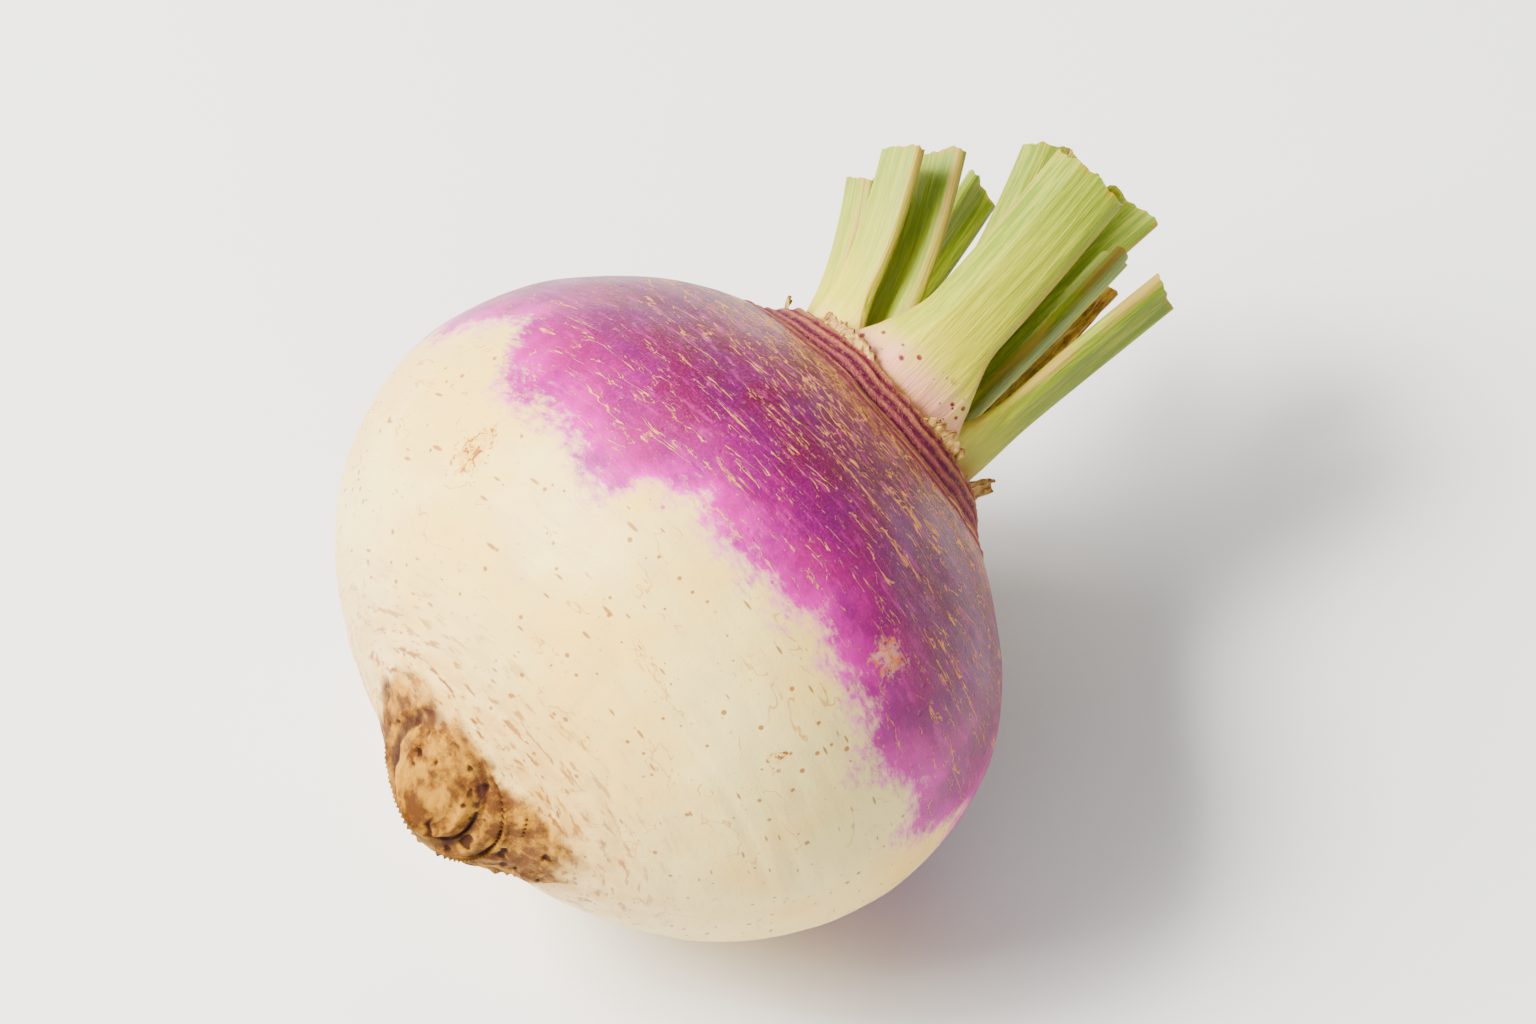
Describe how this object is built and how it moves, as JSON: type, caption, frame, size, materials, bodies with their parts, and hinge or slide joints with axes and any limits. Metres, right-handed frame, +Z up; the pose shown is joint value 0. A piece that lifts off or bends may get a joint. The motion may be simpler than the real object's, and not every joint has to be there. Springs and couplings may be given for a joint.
{
  "type": "turnip",
  "caption": "Purple-top turnip as pulled and trimmed: a round swollen root with a short tap-root stub and cut leaf stalks, lying on its side on a small flat spot.",
  "frame": {"origin": "middle of the small flat spot that the root rests on, under its widest section", "axes": "+X along the root's axis from the tap-root stub towards the leaf stalks, +Z up, away from what it rests on"},
  "size_m": [0.1079, 0.0775, 0.0747],
  "materials": {
    "root_skin": "smooth, slightly glossy living skin, cream below and purple above",
    "green_stalk": "fibrous, satin",
    "dry_leaf": "dry and papery, matte"
  },
  "bodies": {
    "root": {"root": "root_skin", "leaf_stalk_1": "green_stalk", "leaf_stalk_2": "green_stalk", "leaf_stalk_3": "green_stalk", "leaf_stalk_4": "green_stalk", "leaf_stalk_5": "green_stalk", "leaf_stalk_6": "green_stalk", "leaf_stalk_7": "green_stalk", "leaf_stalk_8": "green_stalk", "leaf_stalk_9": "green_stalk", "leaf_stalk_10": "green_stalk", "withered_stalk": "dry_leaf", "dry_leaf_base_1": "dry_leaf", "dry_leaf_base_2": "dry_leaf", "dry_leaf_base_3": "dry_leaf", "dry_leaf_base_4": "dry_leaf", "dry_leaf_base_5": "dry_leaf", "dry_leaf_base_6": "dry_leaf"}
  },
  "joints": []
}
